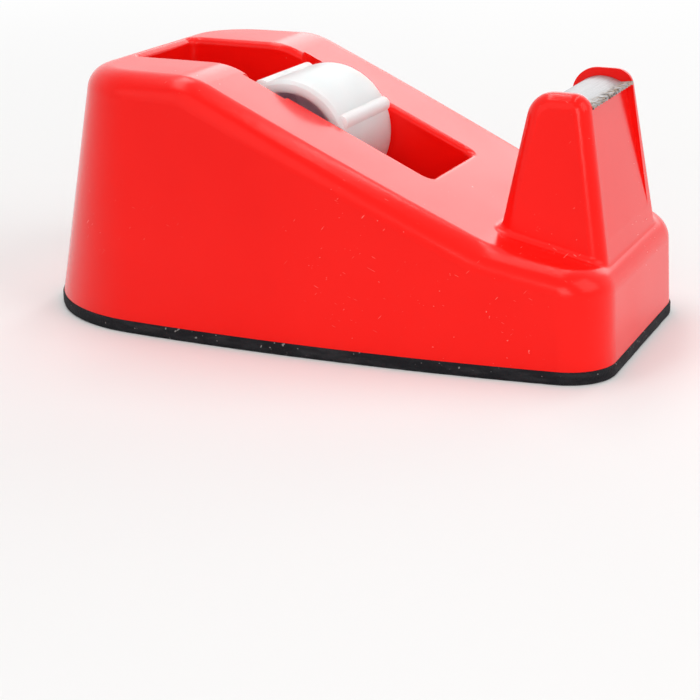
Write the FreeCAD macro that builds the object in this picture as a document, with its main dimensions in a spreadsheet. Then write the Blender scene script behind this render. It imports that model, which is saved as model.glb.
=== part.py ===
import FreeCAD, Part
import math
import os
import Sketcher

# Desk dispenser for small rolls of adhesive tape on a one inch core.
# A one-piece moulded housing holds a cast ballast block, closed below by a plate
# and a foam pad.  The core wheel drops into two leaning slots in the well, and a
# toothed cutter plate sits between the cheeks of the tower.
#
# Frame: X runs along the length with the cutter at +X, Z is up, and the origin is
# the middle of the face that the dispenser rests on.  All sizes are millimetres
# and degrees.

SIZES = [
    # Outline of the housing at its lower edge
    ("body_length", 111.4, "housing length at its lower edge"),
    ("body_width", 62.2, "greatest width at its lower edge"),
    ("widest_x", -11.5, "where the housing is widest"),
    ("side_bow", 407.0, "plan radius of the side walls"),
    ("back_corner_low", 26.0, "back corner radius at the lower edge"),
    ("back_corner_high", 12.0, "back corner radius at the deck"),
    ("front_corner", 9.0, "front corner radius"),
    ("back_slant", 16.7, "lean of the back wall from the vertical"),
    ("side_draft", 1.7, "draft of the side walls"),
    ("front_draft", 3.4, "draft of the front wall"),
    # Side profile of the housing
    ("body_height", 46.5, "height of the flat deck"),
    ("deck_length", 36.5, "from the lower back edge to where the deck turns down"),
    ("shelf_length", 20.9, "from the knee, where the slope meets the shelf, to the front"),
    ("knee_height", 22.0, "height of the knee"),
    ("shelf_fall", 11.5, "fall of the shelf towards the front"),
    ("crest_radius", 14.0, "rounding between deck and slope"),
    ("knee_radius", 22.0, "rounding between slope and shelf"),
    ("rim_radius", 4.6, "rounding of the upper edge"),
    ("wall", 2.6, "wall of the housing"),
    ("roof", 2.8, "thickness of deck, slope and shelf"),
    # Well for the roll
    ("well_setback", 17.1, "from the lower back edge to the well"),
    ("well_length", 57.4, "length of the well"),
    ("well_width", 22.2, "width of the well"),
    ("well_floor", 6.2, "height of the well floor"),
    ("well_wall", 1.9, "wall round the well"),
    ("well_bevel", 15.0, "bevel between end walls and floor"),
    ("well_corner", 1.6, "rounding where the side walls meet the ends"),
    ("well_rim", 1.2, "rounding of the rim of the well"),
    # Axle and its slots in the well walls
    ("axle_setback", 30.0, "from the back wall of the well to the axle"),
    ("axle_drop", 14.6, "depth of the axle below the deck"),
    ("stub_radius", 3.2, "radius of the wheel's stub axles"),
    ("slot_play", 0.3, "play between stub axle and slot"),
    ("slot_depth", 2.0, "depth of each slot in the well wall"),
    ("slot_lean", 15.0, "backward lean of the slots"),
    ("stub_end_play", 0.4, "gap between stub end and slot face"),
    # Core wheel
    ("wheel_side_play", 0.6, "gap between the drum and each well wall"),
    ("drum_radius", 12.0, "outer radius of the drum"),
    ("drum_wall", 2.2, "wall of the drum at its ends"),
    ("drum_bevel", 0.6, "bevel on the ends of the drum"),
    ("grip_height", 0.9, "height of the grip ribs above the drum"),
    ("grip_width", 2.8, "width of a grip rib"),
    ("grip_angle", 26.0, "angle of the first grip rib"),
    ("grip_count", 4, "number of grip ribs and of spokes"),
    ("web_thickness", 1.6, "web between hub and drum"),
    ("hub_radius", 4.6, "radius of the hub"),
    ("hub_inset", 2.0, "how far the hub ends inside the drum"),
    ("spoke_thickness", 1.2, "thickness of the spokes"),
    ("spoke_inset", 3.0, "how far the spokes end inside the drum"),
    ("stub_bevel", 0.5, "bevel on the stub axle ends"),
    # Tower
    ("tower_drop", 0.4, "depth of the top of the cheeks below the deck"),
    ("tower_setback", 3.5, "from the front of the housing to the tower, at knee height"),
    ("tower_length", 9.8, "length of the cheeks at the top"),
    ("tower_lean", 10.2, "lean of the front and back of the tower"),
    ("tower_draft", 4.0, "lean of the outer faces of the cheeks"),
    ("cheek_thickness", 2.8, "thickness of a cheek at the top"),
    ("cheek_back_radius", 4.6, "rounding of the cheeks at the back of the top"),
    ("cheek_front_radius", 3.2, "rounding of the cheeks at the front of the top"),
    ("cheek_side_radius", 2.6, "rounding of the outer edges of the cheeks"),
    ("tower_foot_radius", 1.2, "rounding where the tower meets the housing"),
    ("opening_width", 25.2, "width between the cheeks"),
    ("panel_recess", 1.6, "how far the panel under the blade is set back"),
    ("tower_roof", 3.6, "material under the crest of the blade"),
    # Cutter blade
    ("blade_thickness", 0.6, "sheet thickness of the blade"),
    ("crest_setback", 5.2, "from the front of the cheeks to the crest of the blade"),
    ("crest_drop", 1.4, "depth of the crest below the top of the cheeks"),
    ("crown_back_radius", 5.4, "radius from the crest to the back edge"),
    ("crown_front_radius", 8.0, "radius from the crest to the lip"),
    ("crown_back_run", 4.6, "run from the crest to the back edge"),
    ("crown_front_run", 3.6, "run from the crest to the lip"),
    ("crown_run_out", 2.4, "run of the seat behind the blade"),
    ("lip_length", 2.2, "length of the lip with its teeth"),
    ("lip_rise", 0.3, "rise of the lip towards its teeth"),
    ("blade_gap", 0.15, "gap round the blade"),
    ("tooth_pitch", 1.6, "pitch of the teeth"),
    ("tooth_depth", 1.0, "depth of the teeth"),
    # Ballast, plate and pad
    ("ballast_gap", 0.4, "gap between ballast and housing"),
    ("plate_thickness", 1.6, "thickness of the bottom plate"),
    ("plate_gap", 0.4, "gap round the bottom plate"),
    ("pad_thickness", 2.3, "thickness of the foam pad"),
    ("pad_overhang", 0.3, "how far the pad stands proud"),
]

doc = FreeCAD.newDocument("TapeDispenser")
sheet = doc.addObject("Spreadsheet::Sheet", "Sizes")
for row, (alias, number, meaning) in enumerate(SIZES, start=1):
    sheet.set("A%d" % row, meaning)
    sheet.set("B%d" % row, str(number))
    sheet.setAlias("B%d" % row, alias)
doc.recompute()


def value(expression):
    """Number that an expression over the sheet stands for."""
    result = sheet.evalExpression(expression)
    return float(getattr(result, "Value", result))


# Places that follow from the sizes
WELL_BACK = "(-Sizes.body_length / 2 + Sizes.well_setback)"
WELL_FRONT = "(%s + Sizes.well_length)" % WELL_BACK
SLOPE_START = "(-Sizes.body_length / 2 + Sizes.deck_length)"
KNEE = "(Sizes.body_length / 2 - Sizes.shelf_length)"
AXLE_X = "(%s + Sizes.axle_setback)" % WELL_BACK
AXLE_HEIGHT = "(Sizes.body_height - Sizes.axle_drop)"
TOWER_ROOT = "(Sizes.pad_thickness + Sizes.plate_thickness)"
TOWER_TOP = "(Sizes.body_height - Sizes.tower_drop)"
TOWER_SPLAY = "(%s - Sizes.knee_height) * tan(Sizes.tower_lean * 1deg)" % TOWER_TOP
TOWER_FRONT = "(Sizes.body_length / 2 - Sizes.tower_setback - %s)" % TOWER_SPLAY
TOWER_BACK = "(%s - Sizes.tower_length)" % TOWER_FRONT
CREST_X = "(%s - Sizes.crest_setback)" % TOWER_FRONT
CREST_HEIGHT = "(%s - Sizes.crest_drop)" % TOWER_TOP
ABOVE = "2 * Sizes.body_height"

# Limits used to pick edges: a distance in millimetres, then the upward share of
# the normal of a face that counts as a top and of one that counts as a wall
NEAR = 0.01
TOP_FACE = 0.85
WALL_FACE = 0.5


# ---------------------------------------------------------------- helpers

def plane_of(body, role):
    return [item for item in body.Origin.OriginFeatures if item.Role == role][0]


def new_body(name):
    return doc.addObject("PartDesign::Body", name)


def new_sketch(body, role, name, offset="0"):
    sketch = body.newObject("Sketcher::SketchObject", name)
    sketch.AttachmentSupport = [(plane_of(body, role), "")]
    sketch.MapMode = "FlatFace"
    sketch.setExpression("AttachmentOffset.Base.z", offset)
    return sketch


def pin_distance(sketch, geometry, position, kind, axis, expression):
    """Ties one coordinate of a point to an expression."""
    if abs(value(expression)) < 1e-9:
        sketch.addConstraint(Sketcher.Constraint("PointOnObject", geometry, position, axis))
        return
    rule = Sketcher.Constraint(kind, geometry, position, value(expression))
    index = sketch.addConstraint(rule)
    sketch.setExpression("Constraints[%d]" % index, expression)


def pin_point(sketch, geometry, position, x, y):
    """Ties one point of a sketch to a pair of expressions."""
    pin_distance(sketch, geometry, position, "DistanceX", -2, x)
    pin_distance(sketch, geometry, position, "DistanceY", -1, y)


def pin_radius(sketch, arc, radius):
    index = sketch.addConstraint(Sketcher.Constraint("Radius", arc, value(radius)))
    sketch.setExpression("Constraints[%d]" % index, radius)


def draw_loop(sketch, corners):
    """Closed loop through corners (x, y, middle), each given by expressions.

    The edge that leaves a corner is straight, or an arc through its middle.
    """
    points = [FreeCAD.Vector(value(x), value(y), 0) for x, y, middle in corners]
    starts = []
    ends = []
    for index, (x, y, middle) in enumerate(corners):
        first = points[index]
        last = points[(index + 1) % len(points)]
        if middle is None:
            edge = sketch.addGeometry(Part.LineSegment(first, last), False)
            starts.append((edge, 1))
            ends.append((edge, 2))
            continue
        via = FreeCAD.Vector(value(middle[0]), value(middle[1]), 0)
        edge = sketch.addGeometry(Part.Arc(first, via, last), False)
        forward = sketch.getPoint(edge, 1).distanceToPoint(first) < 1e-6
        starts.append((edge, 1 if forward else 2))
        ends.append((edge, 2 if forward else 1))
        guide = sketch.addGeometry(Part.Point(via), True)
        sketch.addConstraint(Sketcher.Constraint("PointOnObject", guide, 1, edge))
        pin_point(sketch, guide, 1, middle[0], middle[1])
    for index, (x, y, middle) in enumerate(corners):
        joined = (*ends[index - 1], *starts[index])
        sketch.addConstraint(Sketcher.Constraint("Coincident", *joined))
        pin_point(sketch, *starts[index], x, y)
    return sketch


def draw_polygon(sketch, corners):
    """Closed loop of straight edges through corners (x, y)."""
    return draw_loop(sketch, [(x, y, None) for x, y in corners])


def cut_through(body, sketch, name, width=None):
    """Pocket to both sides of the sketch, through all or over a given width."""
    before = body.Shape.Volume
    pocket = body.newObject("PartDesign::Pocket", name)
    pocket.Profile = sketch
    pocket.SideType = "Symmetric"
    if width is None:
        pocket.Type = "ThroughAll"
    else:
        pocket.Type = "Length"
        pocket.setExpression("Length", width)
    doc.recompute()
    if not body.Shape.Volume < before:
        raise RuntimeError(name + " removed nothing")
    return pocket


def pad_both_ways(body, sketch, name, width):
    pad = body.newObject("PartDesign::Pad", name)
    pad.Profile = sketch
    pad.SideType = "Symmetric"
    pad.setExpression("Length", width)
    doc.recompute()
    return pad


def join_walls(body, name, lower, upper):
    """Ruled loft between two outlines."""
    loft = body.newObject("PartDesign::AdditiveLoft", name)
    loft.Profile = lower
    loft.Sections = [upper]
    loft.Ruled = True
    doc.recompute()
    return loft


def combine(body, name, kind, other):
    """Boolean of a body with another body."""
    joint = body.newObject("PartDesign::Boolean", name)
    joint.Type = kind
    joint.setObjects([other])
    doc.recompute()
    return joint


def edge_names(shape, wanted):
    """Names of the edges for which wanted(edge) holds."""
    names = ["Edge%d" % (index + 1) for index, edge in enumerate(shape.Edges) if wanted(edge)]
    if not names:
        raise RuntimeError("no edge found")
    return names


def round_edges(body, name, radius, wanted):
    base = body.Tip
    fillet = body.newObject("PartDesign::Fillet", name)
    fillet.Base = (base, edge_names(base.Shape, wanted))
    fillet.setExpression("Radius", radius)
    body.Tip = fillet
    doc.recompute()
    if "Invalid" in fillet.State or not fillet.Shape.isValid():
        raise RuntimeError(name + " failed")
    return fillet


def middle_of(edge):
    low, high = edge.ParameterRange
    return edge.valueAt((low + high) / 2)


def is_cross_edge(x, z):
    """Test for edges parallel to Y at a given place in the side view."""
    def test(edge):
        ends = [vertex.Point for vertex in edge.Vertexes]
        return len(ends) == 2 and all(math.hypot(p.x - x, p.z - z) < NEAR for p in ends)
    return test


def is_rim(shape):
    """Test for edges between a top face and a wall."""
    def test(edge):
        point = middle_of(edge)
        heights = []
        for face in shape.ancestorsOfType(edge, Part.Face):
            u, v = face.Surface.parameter(point)
            heights.append(face.normalAt(u, v).z)
        return len(heights) == 2 and max(heights) > TOP_FACE and abs(min(heights)) < WALL_FACE
    return test


# ---------------------------------------------------------------- outlines in plan

def outline_places(height, inset):
    """Places in the plan outline at a height above the lower edge, moved in by an inset.

    Gives the x of the end walls, the half width, and radius and centre of the
    corners.  The back corners get tighter towards the deck.
    """
    inset = "(%s)" % inset
    height = "(%s)" % height
    back = "(-Sizes.body_length / 2 + %s * tan(Sizes.back_slant * 1deg) + %s)" % (height, inset)
    front = "(Sizes.body_length / 2 - %s * tan(Sizes.front_draft * 1deg) - %s)" % (height, inset)
    half = "(Sizes.body_width / 2 - %s * tan(Sizes.side_draft * 1deg) - %s)" % (height, inset)
    shrink = "(Sizes.back_corner_low - Sizes.back_corner_high) / (Sizes.body_height - Sizes.pad_thickness)"
    radii = {
        "back": "(Sizes.back_corner_low - %s * %s - %s)" % (shrink, height, inset),
        "front": "(Sizes.front_corner - %s)" % inset,
    }
    centres = {}
    for end, place, sign in (("back", back, "+"), ("front", front, "-")):
        x = "(%s %s %s)" % (place, sign, radii[end])
        reach = "(Sizes.side_bow - %s)" % radii[end]
        y = "(%s - Sizes.side_bow + sqrt(%s ^ 2 - (%s - Sizes.widest_x) ^ 2))" % (half, reach, x)
        centres[end] = (x, y)
    return back, front, half, radii, centres


def add_arc(sketch, centre, radius, start, end):
    """Arc about a point, with its radius tied to an expression."""
    circle = Part.Circle(centre, FreeCAD.Vector(0, 0, 1), value(radius))
    arc = sketch.addGeometry(Part.ArcOfCircle(circle, start, end), False)
    pin_radius(sketch, arc, radius)
    return arc


def add_end_wall(sketch, x, start, end):
    """Line across the housing at an x."""
    first = FreeCAD.Vector(value(x), start, 0)
    last = FreeCAD.Vector(value(x), end, 0)
    line = sketch.addGeometry(Part.LineSegment(first, last), False)
    sketch.addConstraint(Sketcher.Constraint("Vertical", line))
    pin_distance(sketch, line, 1, "DistanceX", -2, x)
    return line


def draw_outline(sketch, height, inset):
    """Straight end walls and bowed side walls, joined by four tangent corner arcs."""
    back, front, half, radii, centres = outline_places(height, inset)
    drop = "(%s - Sizes.side_bow)" % half
    side = FreeCAD.Vector(value("Sizes.widest_x"), value(drop), 0)
    turn = {}
    middle = {}
    for end, (x, y) in centres.items():
        middle[end] = FreeCAD.Vector(value(x), value(y), 0)
        turn[end] = math.atan2(middle[end].y - side.y, middle[end].x - side.x)

    def mirrored(point):
        return FreeCAD.Vector(point.x, -point.y, 0)

    edges = [
        add_end_wall(sketch, front, -middle["front"].y, middle["front"].y),
        add_arc(sketch, middle["front"], radii["front"], 0, turn["front"]),
        add_arc(sketch, side, "Sizes.side_bow", turn["front"], turn["back"]),
        add_arc(sketch, middle["back"], radii["back"], turn["back"], math.pi),
        add_end_wall(sketch, back, middle["back"].y, -middle["back"].y),
        add_arc(sketch, mirrored(middle["back"]), radii["back"], -math.pi, -turn["back"]),
        add_arc(sketch, mirrored(side), "Sizes.side_bow", -turn["back"], -turn["front"]),
        add_arc(sketch, mirrored(middle["front"]), radii["front"], -turn["front"], 0),
    ]
    pin_point(sketch, edges[2], 3, "Sizes.widest_x", drop)
    pin_point(sketch, edges[6], 3, "Sizes.widest_x", "-%s" % drop)
    for index, edge in enumerate(edges):
        onward = edges[(index + 1) % len(edges)]
        sketch.addConstraint(Sketcher.Constraint("Tangent", edge, 2, onward, 1))
    return sketch


def draw_facets(sketch, height, inset):
    """The outline in flat facets between points on it, for faces inside the housing."""
    back, front, half, radii, centres = outline_places(height, inset)
    front_x, front_y = centres["front"]
    back_x, back_y = centres["back"]
    diagonal = {end: "%s * sqrt(0.5)" % radius for end, radius in radii.items()}
    upper = [
        (front, front_y),
        ("%s + %s" % (front_x, diagonal["front"]), "%s + %s" % (front_y, diagonal["front"])),
        (front_x, "%s + %s" % (front_y, radii["front"])),
        ("Sizes.widest_x", half),
        (back_x, "%s + %s" % (back_y, radii["back"])),
        ("%s - %s" % (back_x, diagonal["back"]), "%s + %s" % (back_y, diagonal["back"])),
        (back, back_y),
    ]
    lower = [(x, "-(%s)" % y) for x, y in reversed(upper)]
    return draw_polygon(sketch, upper + lower)


# ---------------------------------------------------------------- housing form

def make_form(name, low, inset, drop, draw):
    """Form of the housing between a lower face and deck, slope and shelf.

    inset moves the walls in, drop lowers the top faces, and draw is the function
    that draws the outlines.
    """
    form = new_body(name)
    high = "Sizes.body_height + Sizes.rim_radius"
    lower = new_sketch(form, "XY_Plane", name + "_lower_outline", low)
    draw(lower, "%s - Sizes.pad_thickness" % low, inset)
    upper = new_sketch(form, "XY_Plane", name + "_upper_outline", high)
    draw(upper, "%s - Sizes.pad_thickness" % high, inset)
    join_walls(form, name + "_walls", lower, upper)
    deck = "(Sizes.body_height - (%s))" % drop
    knee = "(Sizes.knee_height - (%s))" % drop
    far = "Sizes.body_length"
    fall = "(%s - %s) * tan(Sizes.shelf_fall * 1deg)" % (far, KNEE)
    side = new_sketch(form, "XZ_Plane", name + "_side_profile")
    draw_polygon(side, [
        ("-" + far, deck),
        (SLOPE_START, deck),
        (KNEE, knee),
        (far, "%s - %s" % (knee, fall)),
        (far, ABOVE),
        ("-" + far, ABOVE),
    ])
    cut_through(form, side, name + "_top_cut")
    return form


def draw_well(sketch, grow):
    """Side view of the well, open upwards, grown by a wall."""
    back = "(%s - (%s))" % (WELL_BACK, grow)
    front = "(%s + (%s))" % (WELL_FRONT, grow)
    floor = "(Sizes.well_floor - (%s))" % grow
    bevel = "(Sizes.well_bevel + (2 - sqrt(2)) * (%s))" % grow
    return draw_polygon(sketch, [
        (back, "%s + %s" % (floor, bevel)),
        ("%s + %s" % (back, bevel), floor),
        ("%s - %s" % (front, bevel), floor),
        (front, "%s + %s" % (floor, bevel)),
        (front, ABOVE),
        (back, ABOVE),
    ])


def draw_slot(sketch):
    """Leaning slot with a round bottom about the axle."""
    reach = "(Sizes.stub_radius + Sizes.slot_play)"
    lean_sin = "sin(Sizes.slot_lean * 1deg)"
    lean_cos = "cos(Sizes.slot_lean * 1deg)"
    front = ("%s + %s * %s" % (AXLE_X, reach, lean_cos), "%s + %s * %s" % (AXLE_HEIGHT, reach, lean_sin))
    back = ("%s - %s * %s" % (AXLE_X, reach, lean_cos), "%s - %s * %s" % (AXLE_HEIGHT, reach, lean_sin))
    bottom = ("%s + %s * %s" % (AXLE_X, reach, lean_sin), "%s - %s * %s" % (AXLE_HEIGHT, reach, lean_cos))
    away = "Sizes.body_height * " + lean_sin
    up = "Sizes.body_height * " + lean_cos
    return draw_loop(sketch, [
        (*back, bottom),
        (*front, None),
        ("%s - %s" % (front[0], away), "%s + %s" % (front[1], up), None),
        ("%s - %s" % (back[0], away), "%s + %s" % (back[1], up), None),
    ])


# ---------------------------------------------------------------- tower and blade

def tower_section(height, side_inset, front_inset):
    """Back, front and half width of the tower at a height, moved in from its faces."""
    below = "(%s - (%s))" % (TOWER_TOP, height)
    splay = "%s * tan(Sizes.tower_lean * 1deg)" % below
    draft = "%s * tan(Sizes.tower_draft * 1deg)" % below
    back = "(%s - %s + (%s))" % (TOWER_BACK, splay, side_inset)
    front = "(%s + %s - (%s))" % (TOWER_FRONT, splay, front_inset)
    half = "(Sizes.opening_width / 2 + Sizes.cheek_thickness + %s - (%s))" % (draft, side_inset)
    return back, front, half


def make_tower(name, high, side_inset, front_inset):
    """Block from the root of the tower to a height, with four leaning faces."""
    tower = new_body(name)
    foot_back, foot_front, foot_half = tower_section(TOWER_ROOT, side_inset, front_inset)
    head_back, head_front, head_half = tower_section(high, side_inset, front_inset)
    side = new_sketch(tower, "XZ_Plane", name + "_side")
    draw_polygon(side, [
        (foot_back, TOWER_ROOT),
        (foot_front, TOWER_ROOT),
        (head_front, high),
        (head_back, high),
    ])
    pad_both_ways(tower, side, name + "_block", "2 * " + foot_half)
    drafts = new_sketch(tower, "YZ_Plane", name + "_drafts")
    for sign in ("", "-"):
        draw_polygon(drafts, [
            (sign + foot_half, TOWER_ROOT),
            ("%s2 * %s" % (sign, foot_half), TOWER_ROOT),
            ("%s2 * %s" % (sign, foot_half), high),
            (sign + head_half, high),
        ])
    cut_through(tower, drafts, name + "_sides")
    return tower


def is_cheek_edge(edge):
    """Test for edges in the outer faces of the cheeks, apart from their foot."""
    point = middle_of(edge)
    back, front, half = tower_section("%.9f" % point.z, "0", "0")
    return abs(abs(point.y) - value(half)) < NEAR and point.z > value(TOWER_ROOT) + NEAR


def is_tower_foot(edge):
    """Test for edges where the faces of the tower meet the housing."""
    point = middle_of(edge)
    back, front, half = [value(item) for item in tower_section("%.9f" % point.z, "0", "0")]
    on_side = abs(abs(point.y) - half) < NEAR and back - NEAR < point.x < front + NEAR
    on_end = min(abs(point.x - back), abs(point.x - front)) < NEAR and abs(point.y) < half + NEAR
    low, high = [edge.valueAt(end).z for end in edge.ParameterRange]
    halfway = value("(Sizes.knee_height + %s) / 2" % TOWER_TOP)
    return (on_side or on_end) and abs(high - low) < edge.Length / 2 and point.z < halfway


def crown_point(side, share, depth):
    """Point under the crown of the blade, at a share of the run from its crest."""
    radius = "Sizes.crown_%s_radius" % side
    run = "(Sizes.crown_%s_run * %s)" % (side, share)
    sign = "-" if side == "back" else "+"
    shrink = "(%s - (%s)) / %s" % (radius, depth, radius)
    x = "%s %s %s * %s" % (CREST_X, sign, run, shrink)
    z = "%s - %s + sqrt(%s ^ 2 - %s ^ 2) * %s" % (CREST_HEIGHT, radius, radius, run, shrink)
    return x, z


def draw_blade(sketch):
    """Side view of the blade: two crown arcs and a lip."""
    sheet_under = "Sizes.blade_thickness"
    lip = crown_point("front", 1, "0")
    tip = "%s + Sizes.crown_front_run + Sizes.lip_length" % CREST_X
    return draw_loop(sketch, [
        (*crown_point("back", 1, "0"), crown_point("back", 0.5, "0")),
        (CREST_X, CREST_HEIGHT, crown_point("front", 0.5, "0")),
        (*lip, None),
        (tip, "%s + Sizes.lip_rise" % lip[1], None),
        (tip, "%s + Sizes.lip_rise - %s" % (lip[1], sheet_under), None),
        (*crown_point("front", 1, sheet_under), crown_point("front", 0.5, sheet_under)),
        (CREST_X, "%s - %s" % (CREST_HEIGHT, sheet_under), crown_point("back", 0.5, sheet_under)),
        (*crown_point("back", 1, sheet_under), None),
    ])


def draw_channel(sketch):
    """Space between the cheeks, above the seat of the blade."""
    under = "Sizes.blade_thickness + Sizes.blade_gap"
    seat_back = crown_point("back", 1, under)
    seat_lip = crown_point("front", 1, under)
    behind = "%s - Sizes.crown_run_out" % seat_back[0]
    ahead = "%s + Sizes.body_height" % TOWER_FRONT
    steep = "Sizes.crown_back_run / sqrt(Sizes.crown_back_radius ^ 2 - Sizes.crown_back_run ^ 2)"
    return draw_loop(sketch, [
        (behind, "%s - Sizes.crown_run_out * %s" % (seat_back[1], steep), None),
        (*seat_back, crown_point("back", 0.5, under)),
        (CREST_X, "%s - (%s)" % (CREST_HEIGHT, under), crown_point("front", 0.5, under)),
        (*seat_lip, None),
        (ahead, seat_lip[1], None),
        (ahead, ABOVE, None),
        (behind, ABOVE, None),
    ])


def draw_panel(sketch):
    """Wedge in front of the panel under the blade, ending at the shelf."""
    foot = "Sizes.knee_height"
    back, front, half = tower_section(foot, "0", "0")
    ahead = "%s + Sizes.body_height" % TOWER_FRONT
    return draw_polygon(sketch, [
        (front, foot),
        (ahead, foot),
        (ahead, TOWER_TOP),
        ("%s - Sizes.panel_recess" % TOWER_FRONT, TOWER_TOP),
    ])


# ---------------------------------------------------------------- housing

def make_core():
    """Everything inside the housing: the space for the ballast and the tower."""
    core = make_form("core", "Sizes.pad_thickness", "Sizes.wall", "Sizes.roof", draw_facets)
    well = new_sketch(core, "XZ_Plane", "core_well_profile")
    draw_well(well, "Sizes.well_wall")
    cut_through(core, well, "core_well", "Sizes.well_width + 2 * (Sizes.slot_depth + Sizes.well_wall)")
    high = "%s - Sizes.blade_thickness - Sizes.tower_roof" % CREST_HEIGHT
    tower = make_tower("core_tower", high, "Sizes.wall", "Sizes.wall + Sizes.panel_recess")
    combine(core, "core_joined", "Fuse", tower)
    return core


def make_housing(core):
    """Moulded shell with the well, the axle slots and the tower."""
    housing = make_form("housing", "Sizes.pad_thickness", "0", "0", draw_outline)
    crest = is_cross_edge(value(SLOPE_START), value("Sizes.body_height"))
    round_edges(housing, "crest_rounding", "Sizes.crest_radius", crest)
    hollow = is_cross_edge(value(KNEE), value("Sizes.knee_height"))
    round_edges(housing, "knee_rounding", "Sizes.knee_radius", hollow)
    round_edges(housing, "rim_rounding", "Sizes.rim_radius", is_rim(housing.Tip.Shape))

    tower = make_tower("tower", TOWER_TOP, "0", "0")
    back_top = is_cross_edge(value(TOWER_BACK), value(TOWER_TOP))
    round_edges(tower, "cheek_back_rounding", "Sizes.cheek_back_radius", back_top)
    front_top = is_cross_edge(value(TOWER_FRONT), value(TOWER_TOP))
    round_edges(tower, "cheek_front_rounding", "Sizes.cheek_front_radius", front_top)
    round_edges(tower, "cheek_side_rounding", "Sizes.cheek_side_radius", is_cheek_edge)
    combine(housing, "tower_joined", "Fuse", tower)
    round_edges(housing, "tower_foot_rounding", "Sizes.tower_foot_radius", is_tower_foot)
    combine(housing, "hollow", "Cut", core)

    channel = new_sketch(housing, "XZ_Plane", "channel_profile")
    draw_channel(channel)
    cut_through(housing, channel, "channel", "Sizes.opening_width")
    panel = new_sketch(housing, "XZ_Plane", "panel_profile")
    draw_panel(panel)
    cut_through(housing, panel, "panel_recess", "Sizes.opening_width")
    well = new_sketch(housing, "XZ_Plane", "well_profile")
    draw_well(well, "0")
    cut_through(housing, well, "well", "Sizes.well_width")
    back = value(WELL_BACK)
    front = value(WELL_FRONT)
    side = value("Sizes.well_width / 2")

    def is_well_corner(edge):
        point = middle_of(edge)
        at_end = abs(point.x - back) < NEAR or abs(point.x - front) < NEAR
        return at_end and abs(abs(point.y) - side) < NEAR

    round_edges(housing, "well_corners", "Sizes.well_corner", is_well_corner)
    is_upper = is_rim(housing.Tip.Shape)

    def is_well_rim(edge):
        point = middle_of(edge)
        inside = back - NEAR < point.x < front + NEAR and abs(point.y) < side + NEAR
        return inside and point.z > value("Sizes.knee_height") and is_upper(edge)

    round_edges(housing, "well_rim_rounding", "Sizes.well_rim", is_well_rim)
    slots = new_sketch(housing, "XZ_Plane", "slot_profile")
    draw_slot(slots)
    cut_through(housing, slots, "slots", "Sizes.well_width + 2 * Sizes.slot_depth")
    return housing


# ---------------------------------------------------------------- core wheel

TURN_COS = "cos(Sizes.grip_angle * 1deg)"
TURN_SIN = "sin(Sizes.grip_angle * 1deg)"


def make_wheel():
    """Drum, web, hub and stub axles in one turned piece, with ribs and spokes."""
    wheel = new_body("tape_wheel")
    half = "(Sizes.well_width / 2 - Sizes.wheel_side_play)"
    stub_end = "(Sizes.well_width / 2 + Sizes.slot_depth - Sizes.stub_end_play)"
    bore = "(Sizes.drum_radius - Sizes.drum_wall)"
    upper = [
        ("0", stub_end),
        ("Sizes.stub_radius - Sizes.stub_bevel", stub_end),
        ("Sizes.stub_radius", stub_end + " - Sizes.stub_bevel"),
        ("Sizes.stub_radius", half + " - Sizes.hub_inset"),
        ("Sizes.hub_radius", half + " - Sizes.hub_inset"),
        ("Sizes.hub_radius", "Sizes.web_thickness / 2"),
        (bore, "Sizes.web_thickness / 2"),
        (bore, half),
        ("Sizes.drum_radius - Sizes.drum_bevel", half),
        ("Sizes.drum_radius", half + " - Sizes.drum_bevel"),
    ]
    lower = [(x, "-(%s)" % y) for x, y in reversed(upper)]
    section = new_sketch(wheel, "XY_Plane", "wheel_section")
    draw_polygon(section, upper + lower)
    turned = wheel.newObject("PartDesign::Revolution", "wheel_turned")
    turned.Profile = section
    turned.ReferenceAxis = (section, ["V_Axis"])
    turned.Angle = 360
    doc.recompute()

    seat = "(Sizes.drum_radius + Sizes.grip_height - Sizes.grip_width / 2)"
    centre_x = "%s * %s" % (seat, TURN_COS)
    centre_y = "%s * %s" % (seat, TURN_SIN)
    centre = FreeCAD.Vector(value(centre_x), value(centre_y), 0)
    circle = Part.Circle(centre, FreeCAD.Vector(0, 0, 1), value("Sizes.grip_width / 2"))
    grip = new_sketch(wheel, "XZ_Plane", "grip_section")
    ring = grip.addGeometry(circle, False)
    pin_point(grip, ring, 3, centre_x, centre_y)
    pin_radius(grip, ring, "Sizes.grip_width / 2")
    grips = pad_both_ways(wheel, grip, "grip_rib", "2 * (%s - Sizes.drum_bevel)" % half)
    turn_copies(wheel, grips, "grip_ribs")

    spoke = new_sketch(wheel, "XZ_Plane", "spoke_section")
    inner = "(Sizes.hub_radius - Sizes.spoke_thickness / 2)"
    outer = "(Sizes.drum_radius - Sizes.drum_wall / 2)"
    draw_polygon(spoke, [
        spoke_corner(inner, "-"),
        spoke_corner(outer, "-"),
        spoke_corner(outer, "+"),
        spoke_corner(inner, "+"),
    ])
    spokes = pad_both_ways(wheel, spoke, "spoke", "2 * (%s - Sizes.spoke_inset)" % half)
    turn_copies(wheel, spokes, "spokes")
    wheel.setExpression("Placement.Base.x", AXLE_X)
    wheel.setExpression("Placement.Base.z", AXLE_HEIGHT)
    return wheel


def spoke_corner(reach, side):
    """Corner of a spoke at a radius, on one side of its middle line."""
    other = "+" if side == "-" else "-"
    x = "%s * %s %s Sizes.spoke_thickness / 2 * %s" % (reach, TURN_COS, other, TURN_SIN)
    y = "%s * %s %s Sizes.spoke_thickness / 2 * %s" % (reach, TURN_SIN, side, TURN_COS)
    return x, y


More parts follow.
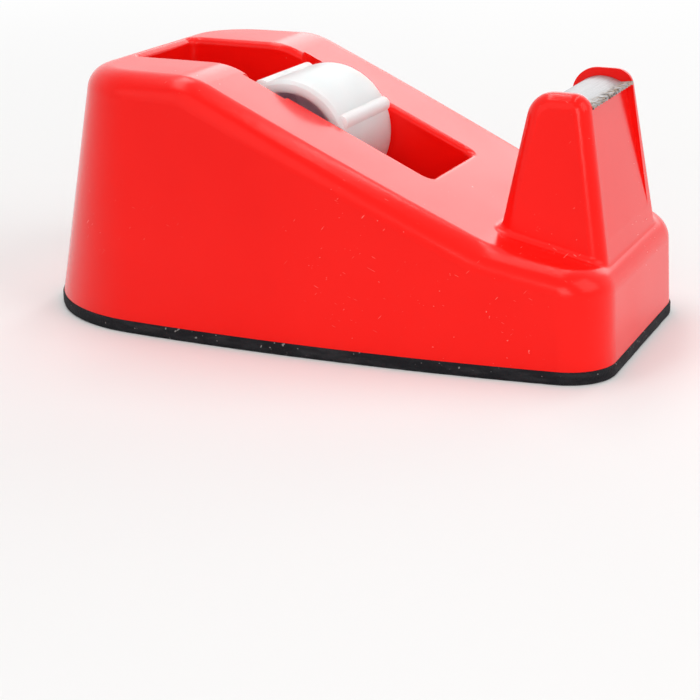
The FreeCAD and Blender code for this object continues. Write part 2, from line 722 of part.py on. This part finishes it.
def turn_copies(body, feature, name):
    """Repeats a feature round the Y axis of the body."""
    pattern = body.newObject("PartDesign::PolarPattern", name)
    pattern.Originals = [feature]
    pattern.Axis = (plane_of(body, "Y_Axis"), [""])
    pattern.Angle = 360
    pattern.setExpression("Occurrences", "Sizes.grip_count")
    body.Tip = pattern
    doc.recompute()
    return pattern


# ---------------------------------------------------------------- blade

def make_blade():
    blade = new_body("cutter_blade")
    width = "(Sizes.opening_width - 2 * Sizes.blade_gap)"
    profile = new_sketch(blade, "XZ_Plane", "blade_profile")
    draw_blade(profile)
    pad_both_ways(blade, profile, "blade_sheet", width)

    count = "floor(%s / Sizes.tooth_pitch)" % width
    first = "-(%s - 1) / 2 * Sizes.tooth_pitch" % count
    tip = "%s + Sizes.crown_front_run + Sizes.lip_length" % CREST_X
    notch = new_sketch(blade, "XY_Plane", "notch_section", CREST_HEIGHT)
    draw_polygon(notch, [
        ("%s - Sizes.tooth_depth" % tip, first),
        ("%s + Sizes.tooth_depth" % tip, "%s - Sizes.tooth_pitch" % first),
        ("%s + Sizes.tooth_depth" % tip, "%s + Sizes.tooth_pitch" % first),
    ])
    cut = cut_through(blade, notch, "notch")
    pattern = blade.newObject("PartDesign::LinearPattern", "teeth")
    pattern.Originals = [cut]
    pattern.Direction = (notch, ["V_Axis"])
    pattern.setExpression("Length", "(%s - 1) * Sizes.tooth_pitch" % count)
    pattern.setExpression("Occurrences", count)
    blade.Tip = pattern
    doc.recompute()
    return blade


# ---------------------------------------------------------------- ballast, plate and pad

def make_ballast():
    """Cast block that fills the housing round the well."""
    inset = "Sizes.wall + Sizes.ballast_gap"
    ballast = make_form("ballast", TOWER_ROOT, inset, "Sizes.roof + Sizes.ballast_gap", draw_facets)
    well = new_sketch(ballast, "XZ_Plane", "ballast_well_profile")
    grow = "(Sizes.well_wall + Sizes.ballast_gap)"
    draw_polygon(well, [
        ("%s - %s" % (WELL_BACK, grow), "0"),
        ("%s + %s" % (WELL_FRONT, grow), "0"),
        ("%s + %s" % (WELL_FRONT, grow), ABOVE),
        ("%s - %s" % (WELL_BACK, grow), ABOVE),
    ])
    cut_through(ballast, well, "ballast_well", "Sizes.well_width + 2 * (Sizes.slot_depth + %s)" % grow)
    return ballast


def make_slab(name, low, thickness, height, inset, draw):
    """Flat slab in the outline that the housing has at a given height."""
    slab = new_body(name)
    outline = new_sketch(slab, "XY_Plane", name + "_outline", low)
    draw(outline, height, inset)
    pad = slab.newObject("PartDesign::Pad", name + "_sheet")
    pad.Profile = outline
    pad.setExpression("Length", thickness)
    doc.recompute()
    return slab


core = make_core()
housing = make_housing(core)
wheel = make_wheel()
blade = make_blade()
ballast = make_ballast()
plate = make_slab("bottom_plate", "Sizes.pad_thickness", "Sizes.plate_thickness",
                  "Sizes.plate_thickness", "Sizes.wall + Sizes.plate_gap", draw_facets)
pad = make_slab("base_pad", "0", "Sizes.pad_thickness", "0", "-Sizes.pad_overhang", draw_outline)
doc.recompute()

for item in doc.Objects:
    if "Invalid" in item.State or "Error" in item.State:
        raise RuntimeError(item.Name + " failed")

os.makedirs("parts", exist_ok=True)
for part in (housing, wheel, blade, ballast, plate, pad):
    if part.Shape.isNull() or not part.Shape.isValid():
        raise RuntimeError(part.Label + " has no valid shape")
    part.Shape.exportStep("parts/%s.step" % part.Label)
    print(part.Label, len(part.Shape.Solids), round(part.Shape.Volume, 1), part.Shape.BoundBox)
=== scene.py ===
"""Looks of the desk tape dispenser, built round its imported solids."""

import math

import bmesh
import bpy
from mathutils import Euler, Matrix, Vector, noise


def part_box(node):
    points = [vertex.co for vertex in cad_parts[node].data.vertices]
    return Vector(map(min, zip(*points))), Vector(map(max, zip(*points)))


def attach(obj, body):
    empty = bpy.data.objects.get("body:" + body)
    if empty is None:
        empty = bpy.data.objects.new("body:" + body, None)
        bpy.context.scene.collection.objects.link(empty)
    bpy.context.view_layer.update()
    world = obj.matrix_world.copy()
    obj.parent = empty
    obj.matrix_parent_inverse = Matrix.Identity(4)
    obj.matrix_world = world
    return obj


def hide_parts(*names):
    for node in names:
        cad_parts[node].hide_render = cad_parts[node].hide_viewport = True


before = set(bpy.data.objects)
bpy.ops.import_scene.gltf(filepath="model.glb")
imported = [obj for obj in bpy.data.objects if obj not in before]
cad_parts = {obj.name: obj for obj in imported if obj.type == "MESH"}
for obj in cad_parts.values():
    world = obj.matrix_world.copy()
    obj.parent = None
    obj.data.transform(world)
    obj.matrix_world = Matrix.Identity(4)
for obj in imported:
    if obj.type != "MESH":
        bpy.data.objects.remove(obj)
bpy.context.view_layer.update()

MM = 0.001

# Camera: place and sensor in millimetres, angles in degrees, lens and picture in pixels
CAMERA_PLACE = (128.5, -298.6, 102.1)
CAMERA_YAW = 23.39
CAMERA_PITCH = 18.82
SENSOR_WIDTH = 36.0
FOCAL_PIXELS = 1808.0
PICTURE_WIDTH = 700.0

# Nearest and farthest distance that the camera sees, in metres
CLIP_NEAR = 0.01
CLIP_FAR = 20.0

# Softboxes: place and size in metres, power in watts; all of them point at LIT_PLACE
LIT_PLACE = (0.0, 0.0, 0.03)
SOFTBOXES = {
    "top_left": ((-0.31, 0.10, 0.86), (0.17, 1.05), 2.9),
    "top_right": ((0.13, 0.15, 0.92), (0.08, 1.10), 1.5),
    "back": ((-0.02, 0.93, 0.44), (0.90, 0.36), 1.8),
    "right_front": ((0.72, -0.12, 0.52), (0.60, 0.60), 2.5),
    "front": ((0.40, -0.92, 0.27), (0.45, 0.35), 2.6),
    "left_front": ((-0.35, -0.95, 0.50), (0.95, 0.70), 1.7),
}

# Strength of the world where it lights matt surfaces, and where it is seen
WORLD_LIGHT = 0.32
WORLD_SHOWN = 1.0

# Floor, in metres: half its width, and how far from the middle it starts and ends turning white
FLOOR_REACH = 3.0
FLOOR_FADE = (0.14, 0.45)

# Foam pad, in millimetres: step along its outline, radius of its rounded edges,
# and how deep the waves and the pits of its cut side are
PAD_STEP = 0.6
PAD_EDGE = 0.35
PAD_WAVE = 0.10
PAD_PIT = 0.06

# Section of the pad's edge, in edge radii: distance from the nearer face, and inset
PAD_SECTION = ((0.0, 2.2), (0.0, 1.0), (0.3, 0.3), (1.0, 0.0))

# Steps on each side of a point of the outline that give its outward direction
PAD_LOOK = 3

# How fine the waves and the pits of the cut side are, along the outline and up it, per metre
WAVE_SCALE = (260, 900)
PIT_SCALE = (1400, 1400)

# Colours; most materials vary between a deep and a light tone
RED_DEEP = (0.88, 0.005, 0.003)
RED_LIGHT = (0.93, 0.008, 0.005)
RED_DUST = (0.90, 0.50, 0.45)
MILKY_DEEP = (0.96, 0.95, 0.95)
MILKY_LIGHT = (0.985, 0.98, 0.98)
# Painted red bounce light: pink base colour in the wheel's bore, standing in for light reflected
# off the red housing
BORE_PAINTED_GLOW = (0.99, 0.66, 0.78)
STEEL_DEEP = (0.31, 0.315, 0.32)
STEEL_LIGHT = (0.44, 0.44, 0.45)
GUM_DEEP = (0.05, 0.035, 0.028)
GUM_LIGHT = (0.46, 0.36, 0.28)
FOAM_DEEP = (0.004, 0.004, 0.006)
FOAM_LIGHT = (0.024, 0.024, 0.027)
FOAM_LINT = (0.35, 0.34, 0.33)
CAST_DEEP = (0.42, 0.40, 0.37)
CAST_LIGHT = (0.58, 0.56, 0.52)
PLATE_DEEP = (0.03, 0.03, 0.03)
PLATE_LIGHT = (0.05, 0.05, 0.05)
PAPER = (0.90, 0.895, 0.89)
WHITE = (1.0, 1.0, 1.0)

# Scratches: size that stretches their noise, in millimetres, and their two turns, in degrees
SCRATCH_SIZE = (2.4, 2.4, 0.26)
SCRATCH_TURNS = (25.0, -50.0)

# Inner radius of the wheel's drum, and width over which the painted pink bounce light in its bore
# ends, in millimetres
WHEEL_BORE = 9.8
BORE_GLOW_FADE = 0.5

# Dried gum on the blade, in millimetres: how far behind the front edge it reaches,
# and where it starts and is whole on each side of that line
GUM_REACH = 1.9
GUM_FADE = (-0.8, 0.4)


# ---------------------------------------------------------------- node helpers

def add_node(tree, kind, **properties):
    """Node of a kind with its properties set."""
    node = tree.nodes.new(kind)
    for name, value in properties.items():
        setattr(node, name, value)
    return node


def link(tree, source, target):
    tree.links.new(source, target)


def new_material(name):
    """New node material with a Principled shader: the material, its tree and the shader."""
    material = bpy.data.materials.new(name)
    material.use_nodes = True
    tree = material.node_tree
    tree.nodes.clear()
    output = add_node(tree, "ShaderNodeOutputMaterial")
    shader = add_node(tree, "ShaderNodeBsdfPrincipled")
    link(tree, shader.outputs["BSDF"], output.inputs["Surface"])
    return material, tree, shader


def object_place(tree, scale=(1.0, 1.0, 1.0), shift=(0.0, 0.0, 0.0)):
    """Object coordinates, stretched along each axis and then shifted."""
    source = add_node(tree, "ShaderNodeTexCoord")
    mapping = add_node(tree, "ShaderNodeMapping")
    mapping.inputs["Scale"].default_value = scale
    mapping.inputs["Location"].default_value = shift
    link(tree, source.outputs["Object"], mapping.inputs["Vector"])
    return mapping.outputs["Vector"]


def add_noise(tree, place, scale, detail=2.0, roughness=0.5):
    """Noise whose scale is a count per unit of its coordinates."""
    node = add_node(tree, "ShaderNodeTexNoise")
    node.inputs["Scale"].default_value = scale
    node.inputs["Detail"].default_value = detail
    node.inputs["Roughness"].default_value = roughness
    link(tree, place, node.inputs["Vector"])
    return node.outputs["Fac"]


def add_range(tree, value, old, new=(0.0, 1.0)):
    """Maps a value from an old range to a new one, held at both ends."""
    node = add_node(tree, "ShaderNodeMapRange")
    node.inputs["From Min"].default_value = old[0]
    node.inputs["From Max"].default_value = old[1]
    node.inputs["To Min"].default_value = new[0]
    node.inputs["To Max"].default_value = new[1]
    link(tree, value, node.inputs["Value"])
    return node.outputs["Result"]


def add_mix(tree, factor, first, second):
    """Mix of two colours; each is a colour or an output."""
    node = add_node(tree, "ShaderNodeMix", data_type="RGBA")
    link(tree, factor, node.inputs["Factor"])
    sockets = [socket for socket in node.inputs if socket.type == "RGBA"]
    for socket, colour in zip(sockets, (first, second)):
        if isinstance(colour, tuple):
            socket.default_value = (*colour, 1.0)
        else:
            link(tree, colour, socket)
    return [socket for socket in node.outputs if socket.type == "RGBA"][0]


def add_math(tree, operation, first, second):
    """Result of a sum on two values; each is a number or an output."""
    node = add_node(tree, "ShaderNodeMath", operation=operation)
    for socket, value in zip(node.inputs, (first, second)):
        if isinstance(value, float):
            socket.default_value = value
        else:
            link(tree, value, socket)
    return node.outputs["Value"]


def add_length(tree, place):
    """Distance of a place from the origin of its coordinates."""
    node = add_node(tree, "ShaderNodeVectorMath", operation="LENGTH")
    link(tree, place, node.inputs[0])
    return node.outputs["Value"]


def add_bump(tree, height, strength, depth, under=None):
    """Normal for a relief whose depth is in millimetres, on top of another one if given."""
    node = add_node(tree, "ShaderNodeBump")
    node.inputs["Strength"].default_value = strength
    node.inputs["Distance"].default_value = depth * MM
    link(tree, height, node.inputs["Height"])
    if under is not None:
        link(tree, under, node.inputs["Normal"])
    return node.outputs["Normal"]


def add_shader_mix(tree, factor, first, second):
    """Mix of two shaders."""
    node = add_node(tree, "ShaderNodeMixShader")
    link(tree, factor, node.inputs["Fac"])
    link(tree, first, node.inputs[1])
    link(tree, second, node.inputs[2])
    return node.outputs["Shader"]


# ---------------------------------------------------------------- materials

def add_scratches(tree):
    """Short hairline scratches in two directions: thin bands of stretched noise."""
    found = []
    for turn in SCRATCH_TURNS:
        source = add_node(tree, "ShaderNodeTexCoord")
        mapping = add_node(tree, "ShaderNodeMapping", vector_type="TEXTURE")
        mapping.inputs["Rotation"].default_value = (0.0, math.radians(turn), 0.0)
        mapping.inputs["Scale"].default_value = [size * MM for size in SCRATCH_SIZE]
        link(tree, source.outputs["Object"], mapping.inputs["Vector"])
        bands = add_noise(tree, mapping.outputs["Vector"], scale=1.0, detail=1.0)
        found.append(add_range(tree, bands, (0.77, 0.80), (0.0, 0.4)))
    return add_math(tree, "MAXIMUM", *found)


def red_plastic():
    """Glossy moulded plastic, faintly clouded, with a little dust and a few fine scratches."""
    material, tree, shader = new_material("red_gloss_plastic")
    place = object_place(tree)
    cloud = add_range(tree, add_noise(tree, place, scale=22.0, detail=3.0), (0.35, 0.65))
    body = add_mix(tree, cloud, RED_DEEP, RED_LIGHT)

    patch = add_range(tree, add_noise(tree, place, scale=38.0), (0.52, 0.68))
    speck = add_noise(tree, place, scale=1900.0, detail=1.0)
    dust = add_math(tree, "MULTIPLY", patch, add_range(tree, speck, (0.765, 0.80), (0.0, 0.45)))
    scratches = add_math(tree, "MULTIPLY", patch, add_scratches(tree))
    marks = add_math(tree, "MAXIMUM", dust, scratches)
    link(tree, add_mix(tree, marks, body, RED_DUST), shader.inputs["Base Color"])

    smear = add_noise(tree, object_place(tree, (1.0, 1.0, 0.5)), scale=60.0, detail=3.0)
    worn = add_range(tree, smear, (0.35, 0.70), (0.16, 0.24))
    rough = add_math(tree, "ADD", worn, add_math(tree, "MULTIPLY", marks, 0.5))
    link(tree, rough, shader.inputs["Roughness"])
    peel = add_noise(tree, place, scale=130.0)
    link(tree, add_bump(tree, peel, 0.05, 0.3), shader.inputs["Normal"])

    # Gloss is red where it is seen head-on and white at a slant
    shader.inputs["IOR"].default_value = 1.5
    shader.inputs["Specular Tint"].default_value = (1.0, 0.35, 0.33, 1.0)
    shader.inputs["Subsurface Weight"].default_value = 0.06
    shader.inputs["Subsurface Radius"].default_value = (0.003, 0.0006, 0.0004)
    shader.inputs["Subsurface Scale"].default_value = 1.0
    return material


def white_plastic():
    """Milky plastic that lets light through, with painted pink bounce light inside the drum."""
    material, tree, shader = new_material("milky_plastic")
    place = object_place(tree)
    tone = add_range(tree, add_noise(tree, place, scale=60.0, detail=3.0), (0.3, 0.7))
    body = add_mix(tree, tone, MILKY_DEEP, MILKY_LIGHT)

    # Painted red bounce light: the base colour turns pink inside the drum's bore
    low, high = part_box("tape_wheel")
    middle = (low + high) / 2
    from_axle = object_place(tree, (1.0, 0.0, 1.0), (-middle.x, 0.0, -middle.z))
    edge = (WHEEL_BORE * MM, (WHEEL_BORE + BORE_GLOW_FADE) * MM)
    painted_glow_mask = add_range(tree, add_length(tree, from_axle), edge, (1.0, 0.0))
    link(tree, add_mix(tree, painted_glow_mask, body, BORE_PAINTED_GLOW), shader.inputs["Base Color"])

    rough = add_range(tree, add_noise(tree, place, scale=220.0), (0.3, 0.7), (0.30, 0.42))
    link(tree, rough, shader.inputs["Roughness"])
    ripple = add_noise(tree, place, scale=140.0)
    link(tree, add_bump(tree, ripple, 0.05, 0.2), shader.inputs["Normal"])
    shader.inputs["Transmission Weight"].default_value = 0.05
    shader.inputs["Subsurface Weight"].default_value = 1.0
    shader.inputs["Subsurface Radius"].default_value = (0.012, 0.009, 0.009)
    shader.inputs["Subsurface Scale"].default_value = 1.0
    return material


def blade_metal():
    """Bright plated sheet, brushed across the blade, with dried gum and dirt on the teeth."""
    material, tree, shader = new_material("plated_steel")
    grain = add_noise(tree, object_place(tree, (1.0, 0.04, 1.0)), scale=4200.0, detail=3.0)
    metal = add_mix(tree, add_range(tree, grain, (0.3, 0.7)), STEEL_DEEP, STEEL_LIGHT)

    place = object_place(tree)
    parts = add_node(tree, "ShaderNodeSeparateXYZ")
    link(tree, place, parts.inputs["Vector"])
    low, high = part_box("cutter_blade")
    line = high.x - GUM_REACH * MM
    near = add_range(tree, parts.outputs["X"], [line + offset * MM for offset in GUM_FADE])
    blotch = add_noise(tree, place, scale=1100.0, detail=3.0, roughness=0.7)
    gum = add_math(tree, "MULTIPLY", near, add_range(tree, blotch, (0.42, 0.55)))
    shade = add_range(tree, add_noise(tree, place, scale=1900.0), (0.4, 0.6))
    dirt = add_mix(tree, shade, GUM_DEEP, GUM_LIGHT)
    link(tree, add_mix(tree, gum, metal, dirt), shader.inputs["Base Color"])

    brushed = add_range(tree, grain, (0.3, 0.7), (0.42, 0.56))
    rough = add_math(tree, "ADD", brushed, add_math(tree, "MULTIPLY", gum, 0.5))
    link(tree, rough, shader.inputs["Roughness"])
    link(tree, add_math(tree, "SUBTRACT", 1.0, gum), shader.inputs["Metallic"])
    crust = add_bump(tree, blotch, 0.4, 0.2)
    link(tree, add_bump(tree, grain, 0.10, 0.04, crust), shader.inputs["Normal"])
    return material


def foam():
    """Black closed-cell foam with pores, scuffs and pale lint."""
    material, tree, shader = new_material("black_foam")
    place = object_place(tree)
    scuff = add_noise(
        tree, object_place(tree, (1.0, 1.0, 4.0)), scale=180.0, detail=4.0, roughness=0.65)
    base = add_mix(tree, add_range(tree, scuff, (0.45, 0.75)), FOAM_DEEP, FOAM_LIGHT)
    lint = add_noise(tree, place, scale=1300.0, detail=1.0)
    colour = add_mix(tree, add_range(tree, lint, (0.72, 0.75), (0.0, 0.6)), base, FOAM_LINT)
    link(tree, colour, shader.inputs["Base Color"])
    shader.inputs["Roughness"].default_value = 0.85
    shader.inputs["Specular IOR Level"].default_value = 0.25

    pores = add_node(tree, "ShaderNodeTexVoronoi")
    pores.inputs["Scale"].default_value = 2600.0
    link(tree, place, pores.inputs["Vector"])
    coarse = add_bump(tree, scuff, 0.5, 0.3)
    fine = add_bump(tree, pores.outputs["Distance"], 0.7, 0.15, coarse)
    link(tree, fine, shader.inputs["Normal"])
    return material


def dull_filling(name, deep, light, scale):
    """Matt material of a hidden piece."""
    material, tree, shader = new_material(name)
    grain = add_noise(tree, object_place(tree), scale, detail=4.0)
    tone = add_range(tree, grain, (0.35, 0.65))
    link(tree, add_mix(tree, tone, deep, light), shader.inputs["Base Color"])
    link(tree, add_bump(tree, grain, 0.4, 0.2), shader.inputs["Normal"])
    shader.inputs["Roughness"].default_value = 0.8
    return material


def dress(thing, material):
    """Gives an object one material."""
    thing.data.materials.clear()
    thing.data.materials.append(material)


# ---------------------------------------------------------------- foam pad

def pad_outline(node):
    """Corner points of the underside of the pad, in order round it."""
    low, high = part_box(node)
    points = set()
    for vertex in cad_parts[node].data.vertices:
        if vertex.co.z < low.z + 1e-6:
            points.add((round(vertex.co.x, 7), round(vertex.co.y, 7)))
    middle = (low + high) / 2
    return sorted(points, key=lambda p: math.atan2(p[1] - middle.y, p[0] - middle.x))


def even_ring(points, step):
    """Points at even steps along a closed line, each with its outward direction."""
    lengths = [0.0]
    for index, point in enumerate(points):
        onward = points[(index + 1) % len(points)]
        lengths.append(lengths[-1] + math.dist(point, onward))
    count = int(lengths[-1] / step)
    ring = []
    index = 0
    for number in range(count):
        target = lengths[-1] * number / count
        while lengths[index + 1] < target:
            index += 1
        first = Vector(points[index])
        last = Vector(points[(index + 1) % len(points)])
        share = (target - lengths[index]) / (lengths[index + 1] - lengths[index])
        ring.append(first.lerp(last, share))
    result = []
    for number, point in enumerate(ring):
        along = ring[(number + PAD_LOOK) % count] - ring[number - PAD_LOOK]
        result.append((point, Vector((along.y, -along.x)).normalized()))
    return result


def grain_at(point, height, scale):
    """Noise between -1 and 1 at a place on the pad's side."""
    along, up = scale
    return noise.noise(Vector((point.x * along, point.y * along, height * up)))


def pad_levels(low, high):
    """Heights of the pad's section from the floor up, each with its inset, in metres."""
    edge = PAD_EDGE * MM
    lower = [(low + edge * rise, edge * inset) for rise, inset in PAD_SECTION]
    middle = [((low * 2 + high) / 3, 0.0), ((low + high * 2) / 3, 0.0)]
    upper = [(high - edge * drop, edge * inset) for drop, inset in reversed(PAD_SECTION)]
    return lower + middle + upper


def make_pad():
    """Foam pad with a soft, slightly wavy cut edge."""
    low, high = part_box("base_pad")
    ring = even_ring(pad_outline("base_pad"), PAD_STEP * MM)
    mesh = bpy.data.meshes.new("foam_pad")
    build = bmesh.new()
    rows = []
    for height, inset in pad_levels(low.z, high.z):
        row = []
        for point, outward in ring:
            wave = PAD_WAVE * MM * (0.5 + 0.5 * grain_at(point, height, WAVE_SCALE))
            pit = PAD_PIT * MM * max(0.0, grain_at(point, height, PIT_SCALE))
            place = point - outward * (inset + wave + pit)
            row.append(build.verts.new((place.x, place.y, height)))
        rows.append(row)
    count = len(ring)
    for lower, upper in zip(rows, rows[1:]):
        for number in range(count):
            after = (number + 1) % count
            build.faces.new((lower[number], lower[after], upper[after], upper[number]))
    build.faces.new(rows[0][::-1])
    build.faces.new(rows[-1])
    bmesh.ops.recalc_face_normals(build, faces=build.faces)
    build.to_mesh(mesh)
    build.free()
    for face in mesh.polygons:
        face.use_smooth = len(face.vertices) == 4
    pad = bpy.data.objects.new("foam_pad", mesh)
    bpy.context.scene.collection.objects.link(pad)
    return pad


# ---------------------------------------------------------------- studio

def show_backdrop(tree, lit, shown, surface):
    """Shows one shader to the camera, to gloss and through glass, and lights with the other."""
    path = add_node(tree, "ShaderNodeLightPath")
    seen = path.outputs["Is Camera Ray"]
    for ray in ("Is Glossy Ray", "Is Transmission Ray"):
        seen = add_math(tree, "MAXIMUM", seen, path.outputs[ray])
    link(tree, add_shader_mix(tree, seen, lit, shown), surface)


def floor_paper():
    """Pale matt paper that turns into the white backdrop away from the object."""
    material, tree, shader = new_material("floor_paper")
    shader.inputs["Base Color"].default_value = (*PAPER, 1.0)
    shader.inputs["Roughness"].default_value = 0.9
    shader.inputs["Specular IOR Level"].default_value = 0.1
    paper = shader.outputs["BSDF"]
    surface = paper.links[0].to_socket
    white = add_node(tree, "ShaderNodeEmission")
    away = add_range(tree, add_length(tree, object_place(tree)), FLOOR_FADE)
    faded = add_shader_mix(tree, away, paper, white.outputs["Emission"])
    show_backdrop(tree, paper, faded, surface)
    return material


def make_floor():
    """Wide pale floor that fades into the white background."""
    mesh = bpy.data.meshes.new("floor")
    corners = [(-1, -1), (1, -1), (1, 1), (-1, 1)]
    places = [Vector((x * FLOOR_REACH, y * FLOOR_REACH, 0.0)) for x, y in corners]
    mesh.from_pydata(places, [], [(0, 1, 2, 3)])
    floor = bpy.data.objects.new("floor", mesh)
    bpy.context.scene.collection.objects.link(floor)
    dress(floor, floor_paper())


def make_world():
    """White background, also in reflections, and a softer light on matt surfaces."""
    world = bpy.data.worlds.new("studio")
    bpy.context.scene.world = world
    world.use_nodes = True
    tree = world.node_tree
    tree.nodes.clear()
    output = add_node(tree, "ShaderNodeOutputWorld")
    backgrounds = []
    for strength in (WORLD_LIGHT, WORLD_SHOWN):
        background = add_node(tree, "ShaderNodeBackground")
        background.inputs["Color"].default_value = (*WHITE, 1.0)
        background.inputs["Strength"].default_value = strength
        backgrounds.append(background.outputs["Background"])
    show_backdrop(tree, *backgrounds, output.inputs["Surface"])


def add_softbox(name, place, size, power):
    """Area lamp pointed at the object, with the second side of its size running front to back."""
    lamp = bpy.data.lights.new(name, "AREA")
    lamp.shape = "RECTANGLE"
    lamp.size, lamp.size_y = size
    lamp.energy = power
    holder = bpy.data.objects.new(name, lamp)
    away = (Vector(place) - Vector(LIT_PLACE)).normalized()
    across = Vector((0.0, 1.0, 0.0)).cross(away).normalized()
    turn = Matrix((across, away.cross(across), away)).transposed()
    holder.matrix_world = Matrix.Translation(place) @ turn.to_4x4()
    bpy.context.scene.collection.objects.link(holder)


def make_camera():
    """Camera that sees the object as the photo does."""
    camera = bpy.data.cameras.new("camera")
    camera.sensor_width = SENSOR_WIDTH
    camera.lens = FOCAL_PIXELS * SENSOR_WIDTH / PICTURE_WIDTH
    camera.clip_start = CLIP_NEAR
    camera.clip_end = CLIP_FAR
    holder = bpy.data.objects.new("camera", camera)
    holder.location = [value * MM for value in CAMERA_PLACE]
    turn = (math.radians(90.0 - CAMERA_PITCH), 0.0, math.radians(CAMERA_YAW))
    holder.rotation_euler = Euler(turn)
    bpy.context.scene.collection.objects.link(holder)
    bpy.context.scene.camera = holder


# ---------------------------------------------------------------- assembly

dress(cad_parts["housing"], red_plastic())
dress(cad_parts["tape_wheel"], white_plastic())
dress(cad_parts["cutter_blade"], blade_metal())
dress(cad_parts["ballast"], dull_filling("cast_filling", CAST_DEEP, CAST_LIGHT, 400.0))
dress(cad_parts["bottom_plate"], dull_filling("plate_plastic", PLATE_DEEP, PLATE_LIGHT, 300.0))

pad = make_pad()
dress(pad, foam())
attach(pad, "base")
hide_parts("base_pad")

make_floor()
make_world()
for name, (place, size, power) in SOFTBOXES.items():
    add_softbox(name, place, size, power)
make_camera()

bpy.context.scene.view_settings.view_transform = "Standard"
